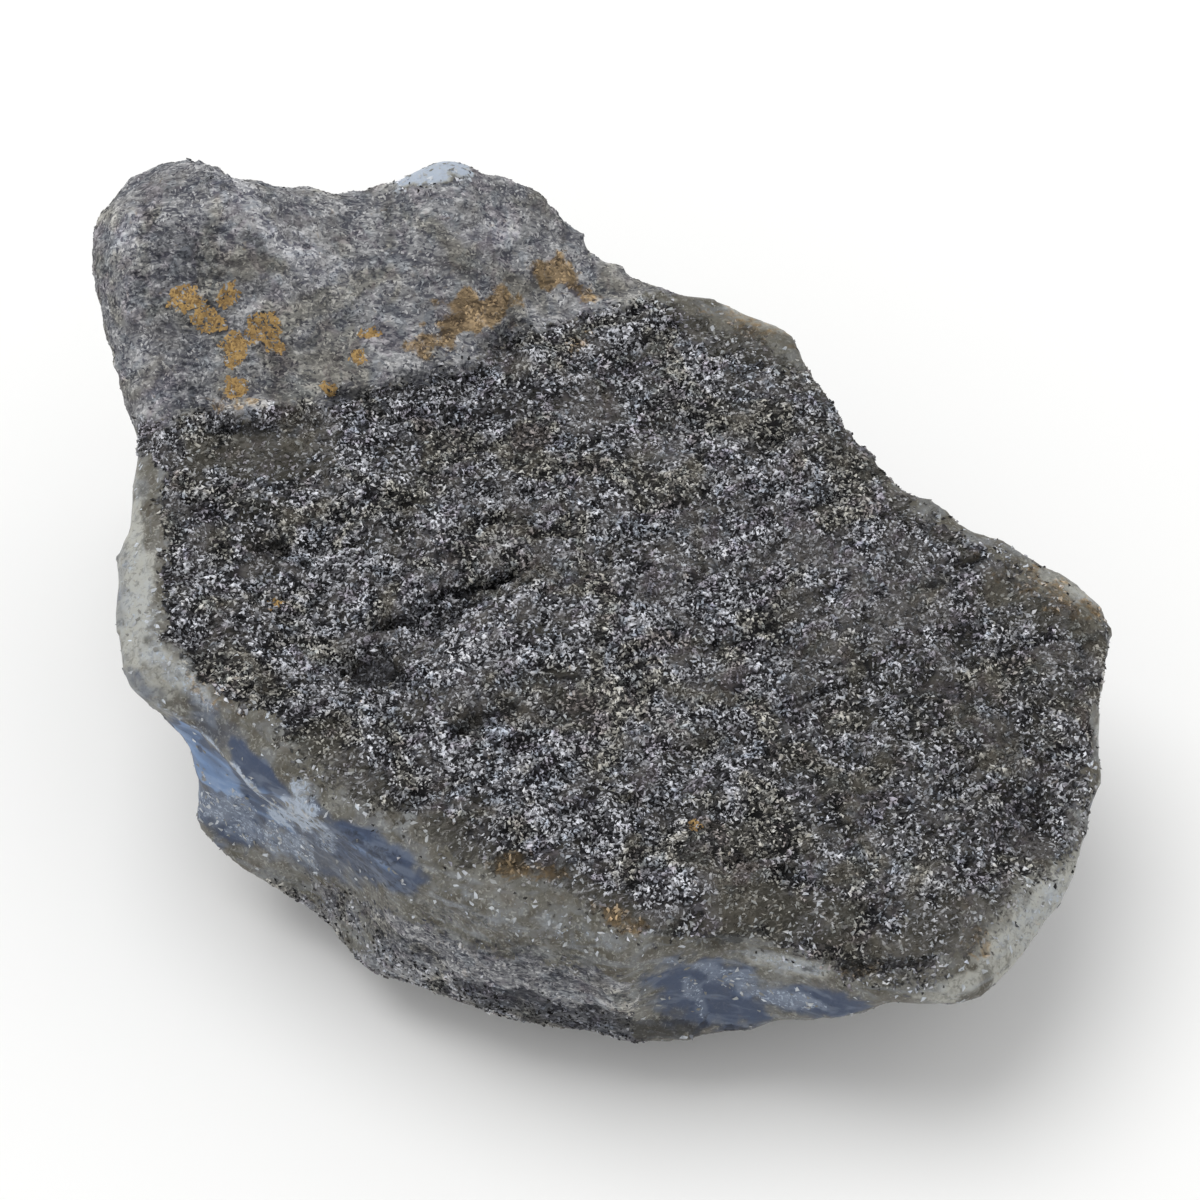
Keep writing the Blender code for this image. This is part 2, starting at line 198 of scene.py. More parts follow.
BLUE_SPOTS = (
    ("scallop", -38.6, -17.0, 3.8, 2.0, -48, 1.0),
    ("scallop top", -41.2, -13.6, 2.4, 1.3, -48, 1.0),
    ("scallop end", -33.4, -20.4, 4.4, 1.8, -42, 0.86),
    ("above the edge", -34.4, -17.0, 4.4, 1.2, -45, 0.72),
    ("haze above it", -38.4, -12.6, 4.6, 1.6, -42, 0.36),
    ("under the scallop", -37.0, -21.4, 5.6, 3.0, -28, 0.66),
    ("grey streak", -28.6, -25.0, 6.0, 2.2, -30, 0.5),
    ("lower streak", -23.4, -25.2, 6.5, 2.4, -32, 0.82),
    ("front scoop", 11.5, -39.6, 6.5, 3.6, -8, 0.74),
    ("front scoop end", 21.0, -40.0, 6.5, 1.6, -8, 0.7),
    ("left lip", -46.5, -8.6, 3.4, 1.6, -30, 0.4),
    ("left side", -48.2, 2.0, 1.0, 6.0, 0, 0.3),
)
MILKY_SPOTS = (
    WHITE_LUMP,
    ("left rim", -46.6, 2.0, 2.0, 9.5, 3, 1.0),
    ("lower left rim", -43.0, -7.0, 5.5, 1.6, -38, 0.6),
    ("left lip", -46.0, -8.0, 4.2, 2.2, -40, 0.6),
    ("corner", 45.0, -32.0, 8.5, 5.0, 45, 1.0),
    ("right rim", 50.6, -16.0, 0.9, 8.0, 4, 1.0),
    ("front corner", 36.0, -38.5, 4.0, 1.2, 20, 0.8),
    ("front right rim", 20.0, -36.6, 6.5, 1.0, -8, 0.5),
    ("back rim", 16.0, 28.2, 4.5, 1.0, -20, 0.8),
    ("right end", 46.5, 1.0, 5.5, 1.2, -28, 0.5),
)
FROST_SPOTS = (
    WHITE_LUMP,
    ("shelf by the edge", -30.0, -21.6, 3.4, 1.2, -18, 0.8),
    ("patch above", -29.6, -18.8, 1.3, 0.8, -20, 0.7),
    ("streak down", -27.4, -23.8, 0.9, 1.5, 15, 0.55),
    ("left corner", -38.6, -19.6, 2.6, 2.0, -30, 0.25),
    ("left rim", -45.6, -1.5, 1.6, 6.0, 8, 0.35),
    ("lower left rim", -41.5, -8.0, 4.5, 1.2, -40, 0.45),
    ("front flank", -11.0, -31.6, 7.0, 2.6, -20, 0.26),
    ("front flank end", -2.0, -33.2, 5.0, 2.0, -15, 0.3),
    ("scoop band", 13.0, -37.4, 6.0, 0.7, -12, 0.45),
    ("scoop curve", 9.5, -39.6, 1.0, 2.2, 20, 0.45),
    ("front rim", 19.0, -36.3, 7.0, 0.7, -10, 0.45),
    ("below the edge", -37.4, -21.2, 5.0, 2.2, -28, 0.5),
    ("below the shelf", -32.0, -23.8, 4.5, 1.4, -30, 0.5),
    ("scoop light", 16.5, -39.2, 5.5, 1.2, -14, 0.5),
    ("corner", 44.5, -31.0, 5.5, 4.0, 45, 0.35),
)
STAIN_SPOTS = (
    ("under the shoulder", -12.4, 28.6, 4.0, 2.0, 20, 1.0),
    ("below it", -16.5, 25.6, 2.6, 1.1, 15, 0.8),
    ("shoulder end", -4.2, 32.8, 2.6, 1.5, -20, 1.0),
    ("shoulder end low", -1.4, 30.8, 1.6, 0.9, -30, 0.7),
    ("far stain", -1.6, 25.6, 1.3, 0.8, 0, 0.6),
    ("front rim stain", -7.6, -27.0, 2.8, 1.3, -10, 0.85),
    ("front stain", 2.0, -32.2, 2.6, 1.0, -25, 0.75),
    ("left rim stain", -39.0, -9.2, 3.2, 1.0, -30, 0.4),
    ("left shelf stain", -36.6, 19.6, 2.2, 0.9, 0, 0.5),
    ("right rim stain", 27.0, -37.0, 2.6, 0.7, 10, 0.4),
    ("corner stain", 37.6, -34.0, 1.4, 2.4, 30, 0.35),
    ("back rim stain", 16.0, 27.6, 6.5, 1.4, -18, 0.45),
    ("right end stain", 46.0, 0.2, 6.5, 1.6, -28, 0.5),
)
# Painted light: these spots brighten the knob's ridge and top, the hump, the shelf, the ridges and the
# ledges. The crumbs, streaks, dot and vein are pale places of the stone.
LIT_AND_PALE_SPOTS = (
    ("knob ridge", -31.5, 35.5, 9.5, 1.8, -42, 1.0),
    ("knob top", -35.5, 38.5, 4.5, 1.6, -10, 0.7),
    ("beside the knob ridge", -26.5, 32.5, 4.2, 1.4, -50, 0.6),
    ("knob, left edge", -47.0, 36.5, 1.6, 2.8, 10, 0.8),
    ("knob, by the peak", -40.8, 38.6, 1.3, 1.3, 0, 0.6),
    ("hump", -10.6, 36.4, 3.4, 1.5, 20, 0.9),
    ("knob, low left", -44.6, 22.0, 2.0, 4.0, 10, 0.6),
    ("left shelf", -34.4, 18.9, 3.6, 1.0, -8, 0.8),
    ("diagonal ridge", -11.2, -3.4, 7.0, 1.4, 41, 0.9),
    ("below the ridge", -6.6, -6.0, 4.0, 5.0, 0, 0.4),
    ("above the slot", -19.0, 1.0, 6.5, 1.3, 22, 0.6),
    ("left of the pit", -27.5, -4.5, 2.4, 2.8, 0, 0.45),
    ("front ledge", -6.0, -18.6, 2.6, 1.1, 0, 0.7),
    ("crumbs above it", -2.0, -15.0, 2.2, 1.1, 10, 0.6),
    ("middle crumbs", 13.0, 5.0, 2.0, 0.9, 10, 0.6),
    ("right streaks", 26.0, 4.0, 3.6, 0.8, 0, 0.5),
    ("back dot", 8.0, 18.0, 0.7, 0.6, 0, 1.0),
    ("right vein", 17.0, -26.6, 5.0, 0.4, 33, 0.8),
    ("left middle", -36.0, -3.0, 3.0, 1.2, 30, 0.3),
)
# Painted shade: these spots darken the pits, the slot, the cracks, the creases at the knob's foot, the
# hollows, the knob's upper left and a band along the foot. A few broad ones darken the stone's tone in
# patches.
SHADE_AND_DARK_SPOTS = (
    ("knob, upper left", -42.0, 34.0, 4.5, 5.0, 0, 0.45),
    ("round the lichen", -38.0, 27.0, 8.0, 5.0, -10, 0.4),
    ("dark mottle", -41.2, 35.5, 1.8, 1.2, 10, 0.8),
    ("knob foot, left", -25.0, 20.6, 2.8, 0.8, 5, 0.9),
    ("knob foot, middle", -17.0, 22.2, 5.0, 0.9, 10, 0.6),
    ("knob foot, right", -9.2, 26.0, 2.8, 1.8, 40, 0.6),
    ("knob, low", -41.5, 21.5, 5.0, 3.0, 0, 0.4),
    ("below the knob", -14.0, 18.0, 11.0, 3.2, 12, 0.35),
    ("under the left shelf", -35.0, 17.2, 5.0, 0.5, 3, 0.8),
    ("square pit", -22.6, -6.8, 2.5, 1.9, 5, 0.85),
    ("slot start", -20.6, -2.3, 2.6, 0.7, 10, 0.95),
    ("slot", -16.4, -0.2, 2.5, 0.7, 35, 1.0),
    ("slot middle", -12.6, 1.2, 2.6, 0.7, 20, 1.0),
    ("slot end", -9.6, 2.3, 1.5, 0.6, 25, 0.85),
    ("under the slot", -16.5, -2.6, 4.6, 0.9, 33, 0.6),
    ("left pit", -32.6, 5.4, 1.4, 1.1, 0, 0.8),
    ("front pits", -12.0, -12.2, 3.6, 1.0, 25, 0.75),
    ("right cracks", 21.5, -9.5, 3.6, 0.6, 20, 0.6),
    ("right side", 32.0, -8.0, 14.0, 16.0, 0, 0.22),
    ("edge pits", 11.5, -34.0, 2.4, 0.6, 0, 0.7),
    ("edge pits, right", 28.4, -36.6, 5.5, 0.8, 0, 0.6),
    ("corner hollow", 42.0, -22.0, 3.4, 2.4, 60, 0.4),
    ("left edge", -41.5, -3.0, 1.0, 6.0, 15, 0.45),
    ("rind, left", -26.4, -30.4, 1.4, 0.9, -30, 0.4),
    ("rind, middle", -19.0, -34.6, 5.0, 0.9, -22, 0.5),
    ("rind, right", -8.0, -36.0, 8.0, 2.6, -14, 0.42),
    ("rind", -19.0, -32.6, 11.0, 3.4, -24, 0.3),
    ("lower streak", -24.0, -25.4, 4.4, 1.8, -32, 0.4),
    ("foot, left", -5.0, -41.2, 10.0, 1.3, -13, 1.0),
    ("foot", 2.0, -42.6, 12.0, 1.1, -3, 0.8),
)
LICHEN_SPOTS = (
    ("upper left", -41.5, 30.2, 1.5, 1.3, 20, 1.0),
    ("upper middle", -37.2, 30.4, 0.9, 1.4, -15, 0.8),
    ("middle", -39.2, 28.0, 1.7, 1.0, -20, 1.0),
    ("right", -33.6, 27.3, 1.6, 1.3, 15, 1.0),
    ("right arm", -32.4, 25.6, 0.9, 0.7, -30, 1.0),
    ("below", -36.4, 25.3, 1.4, 1.2, -50, 1.0),
    ("below, small", -36.8, 23.9, 0.7, 0.7, 0, 1.0),
    ("low", -36.5, 21.2, 1.2, 0.9, 0, 0.8),
    ("far crumb", -23.0, 26.6, 0.9, 0.5, 0, 1.0),
    ("near crumb", -24.2, 24.3, 0.9, 0.6, -30, 1.0),
    ("lowest crumb", -27.2, 21.2, 1.0, 0.4, -20, 0.8),
    ("dot, left", -32.2, -0.1, 0.6, 0.5, 0, 0.8),
    ("dot, front", 9.3, -22.5, 0.6, 0.5, 0, 0.9),
)


def linear(code):
    """The linear colour of an sRGB hex value."""
    channels = [int(code[k : k + 2], 16) / 255 for k in (1, 3, 5)]
    return tuple(c / 12.92 if c <= 0.04045 else ((c + 0.055) / 1.055) ** 2.4 for c in channels) + (1,)


# Thin tints, which are laid over the stone's own colours and aren't changed with them.
GREY_HAZE = linear("#676462")
OLIVE_TINT = linear("#DDD6BC")
PLUM_TINT = linear("#D3C8D2")
BLUE_TINT = linear("#C6D0DA")
BROWN_TINT = linear("#D2C6BE")
# Painted light, laid over ridges and tops, and over pale places.
LIGHT_AND_PALE_TINT = linear("#EAEAEC")
# Painted shade, laid over pits, creases and hollows and along the foot, and over darker patches.
SHADE_AND_DARK_TINT = linear("#4A4E5C")
DARK_FLECK = linear("#3F3C35")
PALE_FLAKE = linear("#CDD3DB")
DARK_LICHEN = linear("#7C6443")


def colour(name, code, description):
    """A colour that a user would change."""
    return FloatVectorProperty(
        name=name, description=description, subtype="COLOR", size=4, min=0, max=1, default=linear(code)
    )


def length(name, millimetres, description):
    """A length that a user would change."""
    return FloatProperty(
        name=name,
        description=description,
        subtype="DISTANCE",
        unit="LENGTH",
        min=0,
        default=millimetres * MM,
    )


class AgateSurface(bpy.types.PropertyGroup):
    """Sizes of the stone's fine surface."""

    fine_step: length("Fine step", 0.79, "Width of the surface's faces on the hidden side")
    crust_relief: length("Crust relief", 0.5, "Height of the lumps in the granular crust")
    ledge_relief: length("Ledge relief", 0.4, "Height of the small broken ledges in the crust")
    skin_relief: length("Skin relief", 0.5, "Height of the lumps on the weathered skin")
    flank_relief: length("Flank relief", 0.22, "Height of the swells on the broken chalcedony")


class AgateColours(bpy.types.PropertyGroup):
    """Colours of the stone."""

    # The dark quartz shows in the gaps between the grains: its near black is partly painted shade there and
    # partly the tone of the darkest flecks.
    quartz_dark: colour("Quartz, dark", "#101013", "Gaps between the grains of the quartz crust")
    quartz_mid: colour("Quartz, middle", "#505054", "Most grains of the quartz crust")
    quartz_pale: colour("Quartz, pale", "#B4B4B9", "Broken tips of the quartz crust")
    quartz_tip: colour("Quartz, palest", "#EBEDF4", "The palest loose grains of the quartz crust")
    skin_dark: colour("Skin, dark", "#4C4D55", "Dark mottles of the weathered skin")
    skin_mid: colour("Skin, middle", "#87888A", "Weathered skin seen from afar")
    skin_pale: colour("Skin, pale", "#C8C8C9", "Pale mottles of the weathered skin")
    olive: colour("Olive chalcedony", "#57544A", "Thin chalcedony over brown matrix")
    grey: colour("Grey chalcedony", "#797975", "Cloudy chalcedony of the flank")
    milky: colour("Milky chalcedony", "#A9A9A2", "Chalcedony of the thin rims, which lets light in")
    slate: colour("Slate-blue chalcedony", "#384660", "Thick chalcedony in the scars")
    sky: colour("Sky-blue chalcedony", "#6F8CB4", "Thick chalcedony where it glows")
    frost: colour("Frost", "#A8B3C2", "Bruised chalcedony, which is white")
    stain: colour("Ochre stain", "#937950", "Iron stains")
    lichen: colour("Lichen", "#B4945F", "Ochre crust lichen")


class AgateGrains(bpy.types.PropertyGroup):
    """Sizes and numbers of the scattered grains."""

    grain_width: length("Grain width", 0.3, "Usual width of a quartz grain")
    flake_width: length("Flake width", 0.36, "Usual width of a milky flake")
    crumb_width: length("Crumb width", 0.36, "Usual width of a lichen crumb")
    seed: IntProperty(name="Seed", description="Which scatter is drawn", default=7, min=0)


class AgateStudio(bpy.types.PropertyGroup):
    """The floor and the light."""

    floor: colour("Floor", "#F4F4F3", "Matt pale floor")
    sky: FloatProperty(name="Sky", description="Strength of the light from all round", default=0.74)
    lamp: FloatProperty(
        name="Lamp", description="Power of the large soft lamp", default=29, unit="POWER"
    )


def smooth(t):
    """From 0 to 1 as t goes from 0 to 1, level at both ends."""
    t = np.clip(t, 0, 1)
    return t * t * (3 - 2 * t)


def field(points, size, layer):
    """Smooth noise about 0, with lumps of this size, one layer unlike the next."""
    shift = Vector((13.7 * layer, 5.1 * layer, 29.3 * layer))
    return np.array([noise.noise(Vector(p) / size + shift) for p in points])


def along_flow(points, flow):
    """The points pressed together along a flow, so that noise there comes out drawn out."""
    along_by, across_by, turn = flow
    c, s = cos(radians(turn)), sin(radians(turn))
    along = points[:, 0] * c + points[:, 1] * s
    beside = -points[:, 0] * s + points[:, 1] * c
    return np.column_stack([along / along_by, beside / across_by, points[:, 2]])


def sighted(points):
    """How far across and up each point is sighted from the middle of the view."""
    away = points - EYE
    depth = away @ AHEAD
    return away[:, 0] * SIGHT_DISTANCE / depth, (away @ UPWARD) * SIGHT_DISTANCE / depth


def distance_to_line(line, x, y, closed):
    """The distance from each point to a line of straight stretches."""
    ends = list(zip(line, line[1:] + line[:1] if closed else line[1:]))
    nearest = np.full(len(x), np.inf)
    for (ax, ay), (bx, by) in ends:
        dx, dy = bx - ax, by - ay
        t = np.clip(((x - ax) * dx + (y - ay) * dy) / (dx * dx + dy * dy), 0, 1)
        nearest = np.minimum(nearest, np.hypot(x - ax - t * dx, y - ay - t * dy))
    return nearest


def depth_inside(outline, x, y):
    """The distance from each point to the outline, negative outside it."""
    inside = np.zeros(len(x), bool)
    for (ax, ay), (bx, by) in zip(outline, outline[1:] + outline[:1]):
        crosses = (ay > y) != (by > y)
        at = ax + (y - ay) * (bx - ax) / (by - ay if by != ay else 1)
        inside ^= crosses & (x < at)
    return np.where(inside, 1, -1) * distance_to_line(outline, x, y, True)


def spots(marks, x, y, ragged):
    """The strongest of the marks at each sighted point, with their edges made ragged."""
    total = np.zeros(len(x))
    for _, across, up, long_radius, short_radius, turn, strength in marks:
        c, s = cos(radians(turn)), sin(radians(turn))
        along = ((x - across) * c + (y - up) * s) / long_radius
        beside = (-(x - across) * s + (y - up) * c) / short_radius
        total = np.maximum(total, strength * smooth((1.35 - np.hypot(along, beside) + ragged) / 0.7))
    return total


class Surface:
    """The stone's fine mesh as arrays in millimetres, with what its zones are worked out from."""

    def __init__(self, mesh):
        self.mesh = mesh
        count = len(mesh.vertices)
        self.points = np.empty(count * 3)
        mesh.vertices.foreach_get("co", self.points)
        self.points = self.points.reshape(-1, 3) / MM
        self.normals = np.empty(count * 3)
        mesh.vertices.foreach_get("normal", self.normals)
        self.normals = self.normals.reshape(-1, 3)
        self.across, self.up = sighted(self.points)
        towards = EYE - self.points
        towards /= np.linalg.norm(towards, axis=1)[:, None]
        self.seen = smooth(((self.normals * towards).sum(axis=1) + 0.02) / 0.12)

    def write(self, name, values):
        layer = self.mesh.attributes.new(name, "FLOAT", "POINT")
        layer.data.foreach_set("value", np.clip(values, 0, 1).astype(np.float32))


def fine_mesh(step):
    """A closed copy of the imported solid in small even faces, twice as fine above and in front."""
    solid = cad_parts[NODE]
    mesh = solid.data.copy()
    body = bmesh.new()
    body.from_mesh(mesh)
    bmesh.ops.remove_doubles(body, verts=body.verts[:], dist=0.001 * MM)
    body.to_mesh(mesh)
    body.free()
    thing = bpy.data.objects.new("fine stone", mesh)
    bpy.context.scene.collection.objects.link(thing)
    even = thing.modifiers.new("even faces", "REMESH")
    even.mode = "VOXEL"
    even.voxel_size = step
    worn = thing.modifiers.new("worn facets", "SMOOTH")
    worn.factor = 0.5
    worn.iterations = 6
    graph = bpy.context.evaluated_depsgraph_get()
    graph.update()
    fine = bpy.data.meshes.new_from_object(thing.evaluated_get(graph))
    bpy.data.objects.remove(thing)
    body = bmesh.new()
    body.from_mesh(fine)
    eye = Vector(EYE * MM)
    edges = set()
    for face in body.faces:
        at = face.calc_center_median()
        upper = face.normal.z > UPPER_SIDE and at.z > LOW_RIM * MM
        if upper or face.normal.dot(eye - at) > 0:
            edges.update(face.edges)
    bmesh.ops.subdivide_edges(body, edges=list(edges), cuts=1, use_grid_fill=True)
    bmesh.ops.triangulate(body, faces=[f for f in body.faces if len(f.verts) > 4])
    body.to_mesh(fine)
    body.free()
    return fine


def write_zones(stone):
    """Works out the zones of the surface, writes them on the mesh and returns them."""
    x, y, p = stone.across, stone.up, stone.points
    ragged = field(p, 2.2, 1) + 0.6 * field(p, 0.9, 2)
    tilt = stone.normals[:, 2]
    upper = smooth((tilt - 0.12) / 0.25)
    zones = {}

    def in_view(marks, unevenness):
        """How strong these marks are where the camera sees the stone."""
        return spots(marks, x, y, unevenness * ragged) * stone.seen

    # The crust ends sharply along the left rim and thins out more slowly in front and at the back.
    fade = 0.9 + 3.0 * smooth((x + 38) / 12) * smooth((-12 - y) / 6)
    fade += 1.3 * smooth((x - 4) / 8) * smooth((y + 8) / 6)
    edge = depth_inside(CRUST_OUTLINE, x, y) + 1.5 * ragged
    below = FACE_HEIGHT + FACE_RISE_X * p[:, 0] + FACE_RISE_Y * p[:, 1] - p[:, 2]
    on_top = np.maximum(
        stone.seen * smooth((CRUST_DEPTH_SEEN - below) / CRUST_DEPTH_FADE),
        smooth((CRUST_DEPTH_HIDDEN - below) / CRUST_DEPTH_FADE),
    )
    zones["crust"] = smooth(edge / (2 * fade) + 0.5) * upper * on_top
    behind = spots((WHITE_LUMP,), x, y, 0.3 * ragged)
    knob = smooth((depth_inside(KNOB_OUTLINE, x, y) + 1.2 * ragged) / 2.5 + 0.5) * (1 - behind)
    zones["knob"] = knob * smooth((tilt + 0.25) / 0.3) * smooth((p[:, 1] - 5) / 4)
    zones["crust"] = np.maximum(zones["crust"] - zones["knob"], 0) * (1 - behind)
    underside = smooth((-0.45 - tilt + 0.4 * ragged) / 0.3) * (1 - 0.9 * stone.seen)
    rind = smooth((depth_inside(RIND_OUTLINE, x, y) + 1.3 * ragged) / 2.6 + 0.5) * stone.seen
    zones["skin"] = np.maximum(zones.pop("knob"), np.maximum(underside, rind * (1 - upper)))
    thin = smooth((field(along_flow(p, CRUST_FLOW), 4, 3) - 0.1) / 0.2)
    zones["bare"] = np.maximum(in_view(BARE_SPOTS, 0.8), 0.5 * thin * zones["crust"])
    gem = 1 - np.maximum(zones["crust"], zones["skin"])
    hidden = 1 - stone.seen
    # Out of sight the broken sides go on as they are in view: milky at the rim and blue lower down.
    drift = field(p, 13, 4)
    blue = smooth((below - 4 + 9 * drift) / 5) * smooth((24 - below + 14 * drift) / 8)
    blue *= (0.5 + 0.6 * drift) * hidden
    zones["blue"] = np.maximum(in_view(BLUE_SPOTS, 0.4), blue) * gem
    rim = 0.8 * smooth((4.5 - below + 8 * drift) / 4) * hidden
    zones["milky"] = np.maximum(in_view(MILKY_SPOTS, 0.5), rim) * gem
    broken = smooth((0.3 - distance_to_line(BROKEN_EDGE, x, y, False) + 0.3 * ragged) / 0.3) * stone.seen
    frost = np.maximum(in_view(FROST_SPOTS, 0.7), 0.9 * broken)
    patches = 0.36 * smooth((field(p, 4.5, 5) - 0.12) / 0.2) * hidden
    zones["frost"] = np.maximum(frost, patches) * gem
    zones["stain"] = in_view(STAIN_SPOTS, 0.9)
    # Painted light on ridges and tops, with pale places of the stone.
    zones["pale"] = in_view(LIT_AND_PALE_SPOTS, 0.7)
    # Painted shade in pits, creases, hollows and along the foot, with darker patches.
    zones["dim"] = in_view(SHADE_AND_DARK_SPOTS, 0.9)
    zones["lichen"] = spots(LICHEN_SPOTS, x, y, 0.5 * field(p, 0.8, 6)) * stone.seen
    for name, values in zones.items():
        stone.write(name, values)
    return zones


def displace(stone, zones, sizes):
    """Gives each zone its own relief and writes how high each point stands in it."""
    p, x, y = stone.points, stone.across, stone.up
    flow = along_flow(p, CRUST_FLOW)
    coarse = np.abs(field(flow, 3.6, 11)) - 0.2
    middling = np.abs(field(flow, 1.7, 12)) - 0.2
    small = field(flow, 0.9, 13)
    holes = smooth((field(flow, 2.4, 15) - 0.2) / 0.16)
    crust = 0.8 * coarse + 1.1 * middling + 0.8 * small - 0.7 * holes
    streaks = along_flow(p, KNOB_FLOW)
    skin = 0.9 * (np.abs(field(streaks, 3.2, 16)) - 0.2) + 0.6 * field(streaks, 1.3, 17) + 0.3 * small
    ripples = np.sin(2 * pi * (p[:, 2] / 3.1 + 0.8 * field(p, 8, 18)))
    gem = field(p, 5.5, 19) + 0.35 * field(p, 2.2, 20) + 0.12 * ripples
    broken = zones["crust"] * (1 - 0.6 * zones["bare"])
    lift = sizes.crust_relief / MM * crust * broken
    lift += sizes.skin_relief / MM * skin * zones["skin"]
    lift += sizes.flank_relief / MM * gem * np.clip(1 - zones["crust"] - zones["skin"], 0, 1)
    stone.write("height", 0.5 + 0.8 * lift)
    # Ledges climb slowly and drop off sharply, so that they leave the stone's form as it is.
    climb = 2.6 * field(along_flow(p, LEDGE_FLOW), 8, 22) + 0.7 * field(p, 2.6, 23)
    ledges = (climb % 1) * smooth((1 - climb % 1) / 0.14) - 0.45
    lift += sizes.ledge_relief / MM * ledges * broken
    lift += 0.12 * zones["frost"] * (1 - zones["crust"])
    ragged = 0.9 * field(p, 0.9, 21)
    lift -= spots(PITS, x, y, ragged) * stone.seen
    lift += spots(LEDGES, x, y, ragged) * stone.seen
    lift += 0.3 * smooth((0.6 - distance_to_line(BROKEN_EDGE, x, y, False)) / 0.5) * stone.seen
    quiet = smooth(p[:, 2] / 2.0)
    stone.points = p + stone.normals * (lift * quiet)[:, None]
    low, high = np.array(CAD_BOX[0]) / MM, np.array(CAD_BOX[1]) / MM
    stone.points = np.clip(stone.points, low, high)


def grain_cover(stone, zones):
    """Writes where grains, skin chips, milky flakes and lichen grow, as a share of the most there is."""
    p = stone.points
    clumps = 0.45 + 0.55 * smooth((field(p, 1.4, 31) + 0.2) / 0.3)
    patches = 0.75 + 0.25 * smooth((field(along_flow(p, CRUST_FLOW), 4.5, 32) + 0.15) / 0.3)
    low = smooth((16 - p[:, 2]) / 6)
    # Fewer grains grow in the bare places and where shade is painted.
    crust = zones["crust"] ** 1.5 * (1 - 0.75 * zones["bare"]) * (1 - 0.25 * zones["dim"])
    stone.write("grain_cover", (crust * patches + 0.3 * low * stone.seen * zones["skin"]) * clumps)
    stone.write("chip_cover", zones["skin"] * (1 - 0.75 * low) * clumps)
    gem = np.clip(1 - zones["crust"] - zones["skin"], 0, 1)
    flakes = 0.4 * zones["frost"] + 0.15 * zones["bare"] * zones["crust"] + 0.4 * gem * zones["crust"]
    stone.write("flake_cover", (flakes + 0.05 * gem) * clumps * (0.3 + 0.7 * stone.seen))
    stone.write("crumb_cover", smooth((zones["lichen"] - 0.3) / 0.3))


def finish_mesh(mesh, points):
    """Puts the mesh's vertices where the points are, which are in millimetres."""
    mesh.vertices.foreach_set("co", (points * MM).reshape(-1).astype(np.float32))
    mesh.update()
    mesh.shade_smooth()


def hand_over(mesh, name, material):
    """Makes a finished piece of a mesh: it rides on the stone's body and takes its finish."""
    piece = bpy.data.objects.new(name, mesh)
    bpy.context.scene.collection.objects.link(piece)
    mesh.name = name
    mesh.materials.clear()
    mesh.materials.append(material)
    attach(piece, BODY)
    return piece


# What makes a Math node multiply two values, or multiply them and add a third.
TIMES = {"operation": "MULTIPLY"}
TIMES_PLUS = {"operation": "MULTIPLY_ADD"}


def add_node(tree, kind, settings, inputs, out=0):
    """Adds a node, sets it up, links its inputs and returns one of its outputs."""
    made = tree.nodes.new(kind)
    for name, value in settings.items():
        setattr(made, name, value)
    sockets = {s.identifier: s for s in made.inputs}
    for name, value in inputs.items():
        socket = sockets[name] if name in sockets else made.inputs[name]
        if isinstance(value, bpy.types.NodeSocket):
            tree.links.new(value, socket)
        else:
            socket.default_value = value
    return made.outputs[out] if made.outputs else None


def new_material(name):
    """An empty material and its node tree, which holds the object's own coordinates."""
    material = bpy.data.materials.new(name)
    material.use_nodes = True
    material.node_tree.nodes.clear()
    add_node(material.node_tree, "ShaderNodeTexCoord", {"name": "place"}, {})
    return material, material.node_tree


def layer(
    tree, under, over, most, start, full, zone="", size=1.0, grip=1.0, flow=NO_FLOW, blend="MIX", warp=0.9
):
    """Lays a colour over another in patches, and returns the two together.

    The patches show from 0 at start to most at full, in the sum of a zone and a noise about nought
    times grip. The noise's lumps have this size in millimetres, follow a flow and curl by warp.
    """
    along_by, across_by, turn = flow
    place = tree.nodes["place"].outputs["Object"]
    at = add_node(
        tree,
        "ShaderNodeMapping",
        {"vector_type": "TEXTURE"},
        {"Vector": place, "Rotation": (0, 0, radians(turn)), "Scale": (along_by, across_by, 1)},
    )
    lumps = add_node(
        tree,
        "ShaderNodeTexNoise",
        {},
        {"Vector": at, "Scale": 1 / (size * MM), "Detail": 2, "Roughness": 0.55, "Distortion": warp},
    )
    total = add_node(
        tree, "ShaderNodeMath", TIMES_PLUS, {"Value": lumps, "Value_001": grip, "Value_002": -grip / 2}
    )
    if zone:
        known = add_node(tree, "ShaderNodeAttribute", {"attribute_name": zone}, {}, out=2)
        total = add_node(
            tree, "ShaderNodeMath", {"operation": "ADD"}, {"Value": total, "Value_001": known}
        )
    share = add_node(
        tree,
        "ShaderNodeMapRange",
        {"interpolation_type": "SMOOTHSTEP"},
        {"Value": total, "From Min": start, "From Max": full, "To Max": most},
    )
    return add_node(
        tree,
        "ShaderNodeMix",
        {"data_type": "RGBA", "blend_type": blend},
        {"Factor_Float": share, "A_Color": under, "B_Color": over},
        out=2,
    )


def tinted(tree, shade, most):
    """Tints a crust or skin with a grey haze and with patches of olive, plum and blue."""
    shade = layer(tree, shade, GREY_HAZE, 0.75 * most, 0.0, 0.14, size=5.5)
    shade = layer(tree, shade, OLIVE_TINT, most, -0.02, 0.12, size=7, blend="MULTIPLY")
    shade = layer(tree, shade, PLUM_TINT, most, 0.03, 0.14, size=3.1, blend="MULTIPLY")
    return layer(tree, shade, BLUE_TINT, most, 0.03, 0.14, size=2.3, blend="MULTIPLY")


